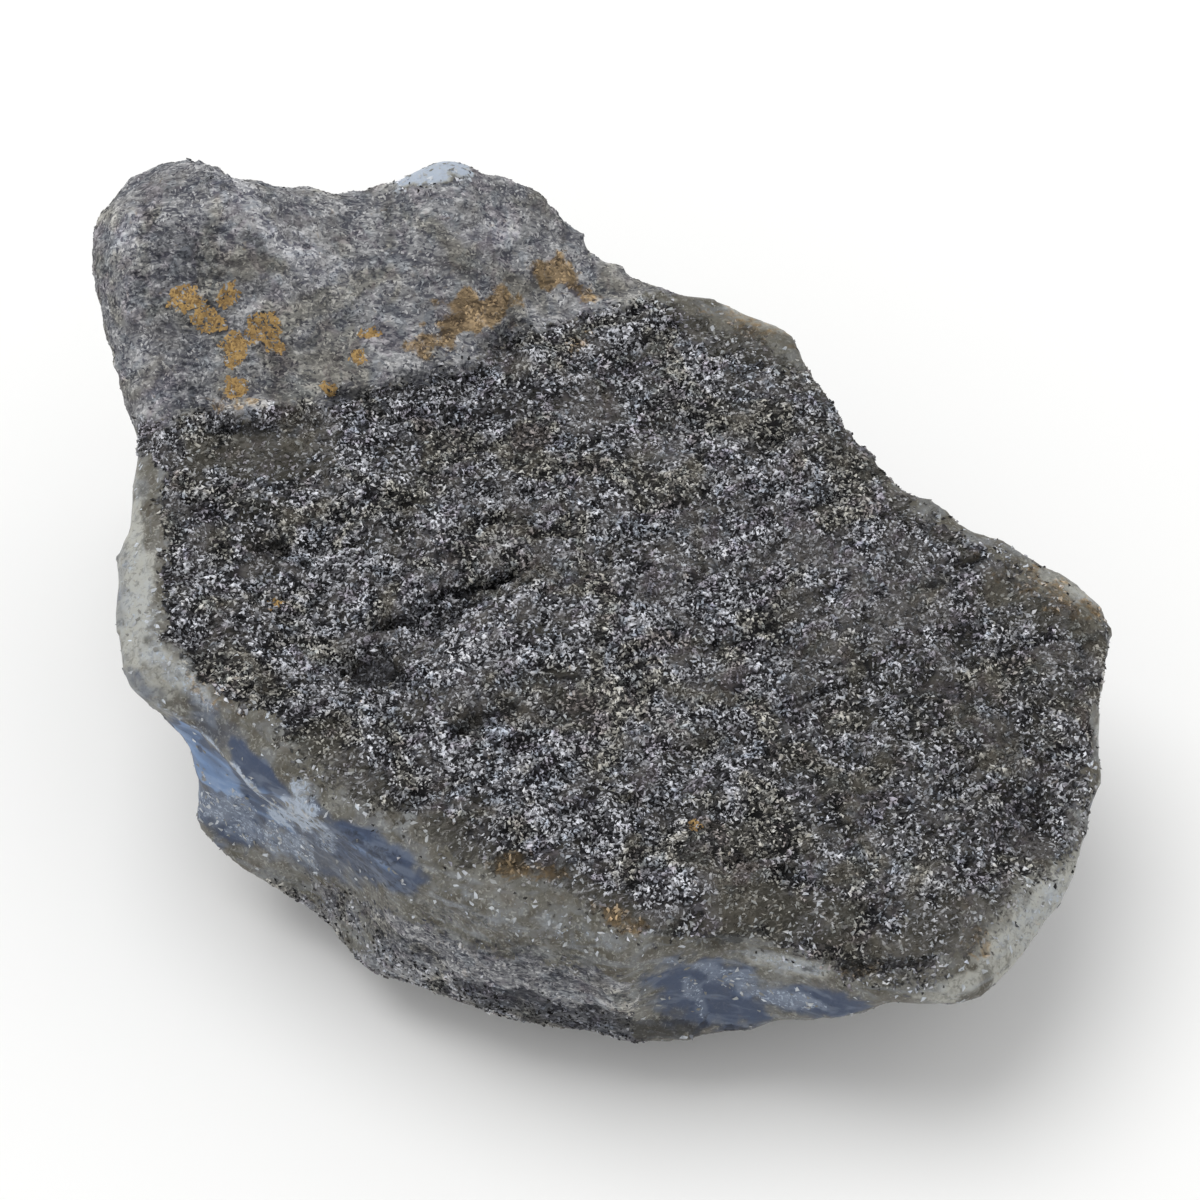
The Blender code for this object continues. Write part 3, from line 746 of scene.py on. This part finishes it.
def marked(tree, shade, shades):
    """Lays over a crust or skin its bare and stained places, painted light with pale places, and painted
    shade with darker patches.
    """
    shade = layer(tree, shade, shades.olive, 0.4, 0.3, 0.9, "bare", 1.4, 1.2)
    # Painted light on ridges and tops, with pale places.
    shade = layer(tree, shade, LIGHT_AND_PALE_TINT, 0.9, 0.2, 0.8, "pale", 0.6, 1.4, blend="SOFT_LIGHT")
    # Painted shade in pits, creases, hollows and along the foot, with darker patches.
    shade = layer(tree, shade, SHADE_AND_DARK_TINT, 0.7, 0.15, 0.75, "dim", 0.6, 1.8, blend="MULTIPLY")
    return layer(tree, shade, shades.stain, 0.8, 0.2, 0.9, "stain", 0.8, 1.8, blend="COLOR")


def quartz_crust(tree, shades):
    """Quartz crust between its loose grains, flecked 0.4 mm wide from nearly black to pale grey. It is
    darker where it lies low and paler where it stands high, which is painted shade in the gaps and hollows
    and painted light on the tops.
    """
    dark, mid, pale = shades.quartz_dark, shades.quartz_mid, shades.quartz_pale
    shade = layer(tree, dark, mid, 1.0, 0.34, 0.76, "height", 0.42, 2.6, CRUST_FLOW)
    return layer(tree, shade, pale, 0.8, 0.7, 1.0, "height", 0.38, 2.6, CRUST_FLOW)


def weathered_skin(tree, shades):
    """The nodule's weathered skin, in streaky mottles 0.5 mm wide with soft clouds 2.5 mm wide. The mottles
    are darker where the skin lies low and paler where it stands high, which is partly painted shade and
    light.
    """
    shade = layer(tree, shades.skin_dark, shades.skin_mid, 1.0, 0.2, 0.6, "height", 0.5, 1.9, KNOB_FLOW)
    shade = layer(tree, shade, shades.skin_pale, 0.75, 0.5, 0.85, "height", 0.45, 1.9, KNOB_FLOW)
    return layer(tree, shade, shades.skin_dark, 0.4, 0.0, 0.12, size=2.5, flow=KNOB_FLOW)


def chalcedony(tree, shades):
    """Broken chalcedony: olive and grey clouds, milky where it is thin, slate and sky blue where it
    is thick, and frosted where it is bruised.
    """
    shade = layer(tree, shades.olive, shades.grey, 0.8, -0.16, 0.2, size=3.6)
    shade = layer(tree, shade, BROWN_TINT, 0.6, -0.1, 0.16, size=2.4, blend="MULTIPLY")
    shade = layer(tree, shade, shades.milky, 0.92, 0.05, 0.85, "milky", 1.6, 0.9)
    shade = layer(tree, shade, shades.grey, 0.6, 0.0, 0.2, size=1.1)
    # Mottles 0.5 mm wide, pale and dark, which keep the broken faces from looking polished.
    shade = layer(tree, shade, shades.milky, 0.5, 0.03, 0.18, size=0.4)
    shade = layer(tree, shade, DARK_FLECK, 0.45, 0.0, 0.18, size=0.5)
    shade = layer(tree, shade, shades.slate, 0.92, 0.05, 0.75, "blue", 2.2, 0.6, warp=0.3)
    shade = layer(tree, shade, shades.sky, 0.9, 0.8, 1.02, "blue", 2.8, 0.7, BAND_FLOW, warp=0.3)
    shade = layer(tree, shade, shades.frost, 0.16, -0.02, 0.16, size=1.3, flow=BAND_FLOW)
    shade = layer(tree, shade, shades.frost, 0.42, 0.1, 0.8, "frost", 1.4, 0.8)
    shade = layer(tree, shade, shades.frost, 0.5, 0.62, 0.72, "frost", 0.9, 1.3)
    return layer(tree, shade, shades.frost, 0.7, 0.66, 0.76, "frost", 0.35, 2.4)


def stone_material(shades):
    """Agate as it broke from its nodule: matt granular quartz crust and weathered skin, which look
    dry and speckled, over fractured chalcedony, which looks waxy, cloudy and slightly see-through.
    """
    material, tree = new_material("agate, granular quartz crust over fractured chalcedony")
    surface = chalcedony(tree, shades)
    crust = tinted(tree, quartz_crust(tree, shades), 0.7)
    skin = tinted(tree, weathered_skin(tree, shades), 0.5)
    surface = layer(tree, surface, crust, 1.0, 0.3, 0.65, "crust", 0.6, 1.2)
    surface = layer(tree, surface, skin, 1.0, 0.3, 0.65, "skin", 0.6, 1.2)
    # With the bare places and stains come painted light on ridges and tops and painted shade in pits,
    # creases and along the foot.
    surface = marked(tree, surface, shades)
    surface = layer(tree, surface, shades.lichen, 0.9, 0.3, 0.5, "lichen", 0.7, 0.8)
    dry = add_node(tree, "ShaderNodeAttribute", {"attribute_name": "dry"}, {}, out=2)
    place = tree.nodes["place"].outputs["Object"]
    grit = add_node(tree, "ShaderNodeTexNoise", {}, {"Vector": place, "Scale": 1 / (0.4 * MM), "Detail": 3})
    rough = add_node(tree, "ShaderNodeMapRange", {}, {"Value": dry, "To Min": 0.36, "To Max": 0.8})
    rough = add_node(
        tree, "ShaderNodeMath", TIMES_PLUS, {"Value": grit, "Value_001": 0.3, "Value_002": rough}
    )
    strength = add_node(tree, "ShaderNodeMapRange", {}, {"Value": dry, "To Min": 0.1, "To Max": 0.7})
    bump = add_node(
        tree, "ShaderNodeBump", {}, {"Strength": strength, "Distance": 0.25 * MM, "Height": grit}
    )
    clear = add_node(tree, "ShaderNodeMapRange", {}, {"Value": dry, "To Min": 0.3, "To Max": 0.0})
    shader = add_node(
        tree,
        "ShaderNodeBsdfPrincipled",
        {},
        {
            "Base Color": surface,
            "Roughness": rough,
            "IOR": 1.54,
            "Specular IOR Level": 0.3,
            "Normal": bump,
            "Subsurface Weight": clear,
            "Subsurface Radius": (1.0, 1.0, 1.2),
            "Subsurface Scale": 1.0 * MM,
        },
    )
    add_node(tree, "ShaderNodeOutputMaterial", {}, {"Surface": shader})
    return material


def grain_material(name, dark, pale, spread, crisp, tint, roughness, shades):
    """Chips that each have a tone between dark and pale, which makes the surface look sugary. They
    are pale in clusters 0.9 mm wide, and paler where they stand high and darker where they lie low, which is
    painted light and painted shade. A spread above 1 makes most of them dark, and crisp is the share that is
    darkest and the share that is palest. Their broken faces shine less than smooth quartz does.
    """
    material, tree = new_material(name)
    place = tree.nodes["place"].outputs["Object"]
    tone = add_node(tree, "ShaderNodeAttribute", {"attribute_name": "tone"}, {}, out=2)
    height = add_node(tree, "ShaderNodeAttribute", {"attribute_name": "height"}, {}, out=2)
    lumps = add_node(tree, "ShaderNodeTexNoise", {}, {"Vector": place, "Scale": 1 / (0.9 * MM), "Detail": 1})
    cluster = add_node(
        tree, "ShaderNodeMapRange", {}, {"Value": lumps, "From Min": 0.35, "From Max": 0.65, "To Min": 0.45}
    )
    # Painted light and shade: grains that stand high are paler and grains that lie low are darker, in
    # clusters 0.9 mm wide.
    lit = add_node(
        tree, "ShaderNodeMath", TIMES_PLUS, {"Value": height, "Value_001": 1.1, "Value_002": 0.45}
    )
    lit = add_node(tree, "ShaderNodeMath", TIMES, {"Value": lit, "Value_001": cluster})
    parted = add_node(
        tree,
        "ShaderNodeMapRange",
        {"interpolation_type": "SMOOTHSTEP"},
        {"Value": tone, "From Min": crisp, "From Max": 1 - crisp},
    )
    uneven = add_node(tree, "ShaderNodeMath", {"operation": "POWER"}, {"Value": parted, "Value_001": spread})
    step = add_node(tree, "ShaderNodeMath", TIMES, {"Value": uneven, "Value_001": lit})
    shade = add_node(
        tree,
        "ShaderNodeMix",
        {"data_type": "RGBA"},
        {"Factor_Float": step, "A_Color": dark, "B_Color": pale},
        out=2,
    )
    if tint:
        # The grains take the same painted light and shade as the stone beneath them.
        shade = marked(tree, tinted(tree, shade, tint), shades)
    shader = add_node(
        tree,
        "ShaderNodeBsdfPrincipled",
        {},
        {"Base Color": shade, "Roughness": roughness, "IOR": 1.54, "Specular IOR Level": 0.25},
    )
    add_node(tree, "ShaderNodeOutputMaterial", {}, {"Surface": shader})
    return material


def scatter_tree():
    """Geometry nodes that scatter chips over a surface where a named attribute lets them grow."""
    tree = bpy.data.node_groups.new("scattered chips", "GeometryNodeTree")
    face = tree.interface
    face.new_socket("Geometry", in_out="INPUT", socket_type="NodeSocketGeometry")
    for name, kind in (
        ("Most per square metre", "NodeSocketFloat"),
        ("Cover", "NodeSocketString"),
        ("Width", "NodeSocketFloat"),
        ("Stretch", "NodeSocketFloat"),
        ("Flatness", "NodeSocketFloat"),
        ("Lean", "NodeSocketFloat"),
        ("Sides", "NodeSocketInt"),
        ("Seed", "NodeSocketInt"),
        ("Material", "NodeSocketMaterial"),
    ):
        face.new_socket(name, in_out="INPUT", socket_type=kind)
    face.new_socket("Geometry", in_out="OUTPUT", socket_type="NodeSocketGeometry")
    given = tree.nodes.new("NodeGroupInput")
    given = {s.name: s for s in given.outputs if s.name}
    share = add_node(
        tree, "GeometryNodeInputNamedAttribute", {"data_type": "FLOAT"}, {"Name": given["Cover"]}
    )
    per_m2, seed = given["Most per square metre"], given["Seed"]
    density = add_node(tree, "ShaderNodeMath", TIMES, {"Value": share, "Value_001": per_m2})
    points = add_node(
        tree,
        "GeometryNodeDistributePointsOnFaces",
        {"distribute_method": "RANDOM"},
        {"Mesh": given["Geometry"], "Density": density, "Seed": seed},
    ).node
    chips = tree.nodes.new("GeometryNodeJoinGeometry")
    for k in range(4):
        ball = add_node(
            tree, "GeometryNodeMeshUVSphere", {}, {"Segments": given["Sides"], "Rings": 2, "Radius": 0.5}
        )
        jolt = add_node(
            tree,
            "FunctionNodeRandomValue",
            {"data_type": "FLOAT_VECTOR"},
            {"Min": (-0.3, -0.3, -0.25), "Max": (0.3, 0.3, 0.25), "Seed": 40 + k},
        )
        chip = add_node(tree, "GeometryNodeSetPosition", {}, {"Geometry": ball, "Offset": jolt})
        chip = add_node(tree, "GeometryNodeGeometryToInstance", {}, {"Geometry": chip})
        tree.links.new(chip, chips.inputs[0])
    size = add_node(
        tree,
        "FunctionNodeRandomValue",
        {"data_type": "FLOAT"},
        {"Min_001": 0.6, "Max_001": 1.4, "Seed": seed},
        out=1,
    )
    width = add_node(tree, "ShaderNodeMath", TIMES, {"Value": size, "Value_001": given["Width"]})
    long = add_node(tree, "ShaderNodeMath", TIMES, {"Value": width, "Value_001": given["Stretch"]})
    thick = add_node(tree, "ShaderNodeMath", TIMES, {"Value": width, "Value_001": given["Flatness"]})
    scale = add_node(tree, "ShaderNodeCombineXYZ", {}, {"X": long, "Y": width, "Z": thick})
    backward = add_node(tree, "ShaderNodeMath", TIMES, {"Value": given["Lean"], "Value_001": -1})
    least = add_node(tree, "ShaderNodeCombineXYZ", {}, {"X": backward, "Y": backward, "Z": 0})
    most = add_node(tree, "ShaderNodeCombineXYZ", {}, {"X": given["Lean"], "Y": given["Lean"], "Z": 2 * pi})
    spin = add_node(
        tree,
        "FunctionNodeRandomValue",
        {"data_type": "FLOAT_VECTOR"},
        {"Min": least, "Max": most, "Seed": seed},
    )
    turned = add_node(
        tree,
        "FunctionNodeRotateRotation",
        {"rotation_space": "LOCAL"},
        {"Rotation": points.outputs["Rotation"], "Rotate By": spin},
    )
    placed = add_node(
        tree,
        "GeometryNodeInstanceOnPoints",
        {},
        {
            "Points": points.outputs["Points"],
            "Instance": chips.outputs[0],
            "Pick Instance": True,
            "Rotation": turned,
            "Scale": scale,
        },
    )
    tone = add_node(
        tree,
        "FunctionNodeRandomValue",
        {"data_type": "FLOAT"},
        {"Min_001": 0.0, "Max_001": 1.0, "Seed": 5},
        out=1,
    )
    toned = add_node(
        tree,
        "GeometryNodeStoreNamedAttribute",
        {"data_type": "FLOAT", "domain": "INSTANCE"},
        {"Geometry": placed, "Name": "tone", "Value": tone},
    )
    real = add_node(tree, "GeometryNodeRealizeInstances", {}, {"Geometry": toned})
    done = add_node(
        tree, "GeometryNodeSetMaterial", {}, {"Geometry": real, "Material": given["Material"]}
    )
    out = tree.nodes.new("NodeGroupOutput")
    tree.links.new(done, out.inputs[0])
    return tree


def scatter(name, material, per_mm2, cover, width, stretch, flatness, lean, sides, seed):
    """One piece of scattered chips on the stone's skin, with at most so many to a square millimetre.

    Cover names the attribute that says where they grow. Stretch and flatness are a chip's length and
    thickness over its width, and lean is how far it tips from the surface, in radians.
    """
    tree = bpy.data.node_groups.get("scattered chips") or scatter_tree()
    skin = bpy.data.objects["stone_skin"]
    base = bpy.data.objects.new("scatter base", skin.data.copy())
    bpy.context.scene.collection.objects.link(base)
    modifier = base.modifiers.new("chips", "NODES")
    modifier.node_group = tree
    values = {
        "Most per square metre": per_mm2 / MM**2,
        "Cover": cover,
        "Width": width,
        "Stretch": stretch,
        "Flatness": flatness,
        "Lean": lean,
        "Sides": sides,
        "Seed": seed,
        "Material": material,
    }
    for socket in tree.interface.items_tree:
        if socket.in_out == "INPUT" and socket.name in values:
            modifier[socket.identifier] = values[socket.name]
    graph = bpy.context.evaluated_depsgraph_get()
    graph.update()
    mesh = bpy.data.meshes.new_from_object(base.evaluated_get(graph))
    bpy.data.objects.remove(base)
    if not mesh.polygons:
        raise RuntimeError(f"no chips grew for {name}")
    hand_over(mesh, name, material)
    keep_in_box(mesh)


def keep_in_box(mesh):
    """Holds every point inside the solid's box."""
    points = np.empty(len(mesh.vertices) * 3)
    mesh.vertices.foreach_get("co", points)
    points = np.clip(points.reshape(-1, 3), np.array(CAD_BOX[0]), np.array(CAD_BOX[1]))
    mesh.vertices.foreach_set("co", points.reshape(-1).astype(np.float32))
    mesh.update()


class AGATE_OT_skin(bpy.types.Operator):
    """Builds the stone's fine surface, which stands for the plain solid"""

    bl_idname = "agate.skin"
    bl_label = "Stone skin"

    def execute(self, context):
        sizes = context.scene.agate_surface
        mesh = fine_mesh(sizes.fine_step)
        stone = Surface(mesh)
        zones = write_zones(stone)
        displace(stone, zones, sizes)
        grain_cover(stone, zones)
        stone.write("dry", zones["crust"] + zones["skin"])
        finish_mesh(mesh, stone.points)
        skin = hand_over(mesh, "stone_skin", stone_material(context.scene.agate_colours))
        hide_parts(NODE)
        return {"FINISHED"}


class AGATE_OT_grains(bpy.types.Operator):
    """Scatters quartz grains over the crust and chips over the weathered skin"""

    bl_idname = "agate.grains"
    bl_label = "Quartz grains"

    def execute(self, context):
        sizes, shades = context.scene.agate_grains, context.scene.agate_colours
        dark, mid, tip = shades.quartz_dark, shades.quartz_mid, shades.quartz_tip
        grains = grain_material("quartz grains, broken", dark, tip, 1.6, 0.24, 0.7, 0.5, shades)
        milky = grain_material("milky quartz grains, broken", mid, tip, 1.3, 0.15, 0.5, 0.4, shades)
        chips = grain_material(
            "weathered skin chips", shades.skin_dark, shades.skin_pale, 0.9, 0, 0.5, 0.8, shades
        )
        width, seed = sizes.grain_width, sizes.seed
        scatter("quartz_grains_coarse", grains, 5.6, "grain_cover", width * 1.2, 1.3, 0.9, 0.7, 4, seed)
        scatter("quartz_grains_fine", grains, 9.6, "grain_cover", width, 1.5, 0.9, 0.7, 3, seed + 1)
        scatter("quartz_grains_milky", milky, 6.6, "grain_cover", width * 0.9, 1.7, 0.9, 0.7, 3, seed + 2)
        scatter("quartz_grains_tiny", grains, 6.0, "grain_cover", width * 0.8, 1.4, 1.0, 0.8, 3, seed + 4)
        scatter("skin_chips", chips, 7.8, "chip_cover", width * 0.9, 1.5, 0.4, 0.3, 4, seed + 3)
        return {"FINISHED"}


class AGATE_OT_flakes(bpy.types.Operator):
    """Scatters thin milky flakes where the chalcedony is bruised"""

    bl_idname = "agate.flakes"
    bl_label = "Milky flakes"

    def execute(self, context):
        sizes, shades = context.scene.agate_grains, context.scene.agate_colours
        material = grain_material(
            "milky chalcedony flakes", shades.grey, PALE_FLAKE, 1.0, 0.1, 0.2, 0.5, shades
        )
        width, seed = sizes.flake_width, sizes.seed + 11
        scatter("milky_flakes", material, 4.5, "flake_cover", width, 1.6, 0.2, 0.25, 5, seed)
        return {"FINISHED"}


class AGATE_OT_lichen(bpy.types.Operator):
    """Grows crusts of orange lichen on the knob"""

    bl_idname = "agate.lichen"
    bl_label = "Lichen"

    def execute(self, context):
        sizes, shades = context.scene.agate_grains, context.scene.agate_colours
        material = grain_material(
            "crust lichen, dry", DARK_LICHEN, shades.lichen, 0.6, 0.1, 0, 0.9, shades
        )
        width, seed = sizes.crumb_width, sizes.seed + 21
        scatter("lichen_crumbs", material, 22.0, "crumb_cover", width, 1.3, 0.25, 0.2, 5, seed)
        return {"FINISHED"}


class AGATE_OT_studio(bpy.types.Operator):
    """Sets up the pale floor, the soft light and the camera"""

    bl_idname = "agate.studio"
    bl_label = "Studio"

    def execute(self, context):
        scene, values = context.scene, context.scene.agate_studio
        corners = [(FLOOR_REACH * u, FLOOR_REACH * v, 0) for u, v in ((-1, -1), (1, -1), (1, 1), (-1, 1))]
        sheet = bpy.data.meshes.new("floor")
        sheet.from_pydata(corners, [], [(0, 1, 2, 3)])
        floor = bpy.data.objects.new("floor", sheet)
        scene.collection.objects.link(floor)
        material, tree = new_material("matt white card")
        shader = add_node(
            tree, "ShaderNodeBsdfPrincipled", {}, {"Base Color": values.floor, "Roughness": 0.9}
        )
        add_node(tree, "ShaderNodeOutputMaterial", {}, {"Surface": shader})
        sheet.materials.append(material)
        world = bpy.data.worlds.new("soft sky")
        world.use_nodes = True
        sky = world.node_tree.nodes["Background"]
        sky.inputs["Color"].default_value = (1, 1, 1, 1)
        sky.inputs["Strength"].default_value = values.sky
        scene.world = world
        light = bpy.data.lights.new("soft lamp", "AREA")
        light.shape = "DISK"
        light.size = LAMP_WIDTH
        light.energy = values.lamp
        lamp = bpy.data.objects.new("soft lamp", light)
        lamp.location = LAMP_PLACE
        lamp.rotation_euler = (-lamp.location).to_track_quat("-Z", "Y").to_euler()
        scene.collection.objects.link(lamp)
        eye = bpy.data.cameras.new("camera")
        eye.sensor_width = SENSOR_WIDTH
        eye.lens = SENSOR_WIDTH * SIGHT_DISTANCE / SIGHT_WIDTH
        camera = bpy.data.objects.new("camera", eye)
        camera.location = EYE * MM
        camera.rotation_euler = (pi / 2 - SIGHT_ELEVATION, 0, 0)
        scene.collection.objects.link(camera)
        scene.camera = camera
        scene.view_settings.view_transform = "Standard"
        return {"FINISHED"}


class AGATE_PT_panel(bpy.types.Panel):
    """Lists the stone's sizes and colours, and the steps that build it"""

    bl_idname = "AGATE_PT_panel"
    bl_label = "Agate"
    bl_space_type = "VIEW_3D"
    bl_region_type = "UI"
    bl_category = "Agate"

    def draw(self, context):
        for name, kind in GROUPS.items():
            box = self.layout.box()
            for value in kind.__annotations__:
                box.prop(getattr(context.scene, name), value)
        for step in OPERATORS:
            self.layout.operator(step.bl_idname)


GROUPS = {
    "agate_surface": AgateSurface,
    "agate_colours": AgateColours,
    "agate_grains": AgateGrains,
    "agate_studio": AgateStudio,
}
OPERATORS = (AGATE_OT_skin, AGATE_OT_grains, AGATE_OT_flakes, AGATE_OT_lichen, AGATE_OT_studio)


def register():
    for name, group in GROUPS.items():
        bpy.utils.register_class(group)
        setattr(bpy.types.Scene, name, PointerProperty(type=group))
    for item in (*OPERATORS, AGATE_PT_panel):
        bpy.utils.register_class(item)


def unregister():
    for item in (AGATE_PT_panel, *reversed(OPERATORS)):
        bpy.utils.unregister_class(item)
    for name, group in GROUPS.items():
        delattr(bpy.types.Scene, name)
        bpy.utils.unregister_class(group)


def main():
    register()
    bpy.ops.agate.skin()
    bpy.ops.agate.grains()
    bpy.ops.agate.flakes()
    bpy.ops.agate.lichen()
    bpy.ops.agate.studio()


if __name__ == "__main__":
    main()
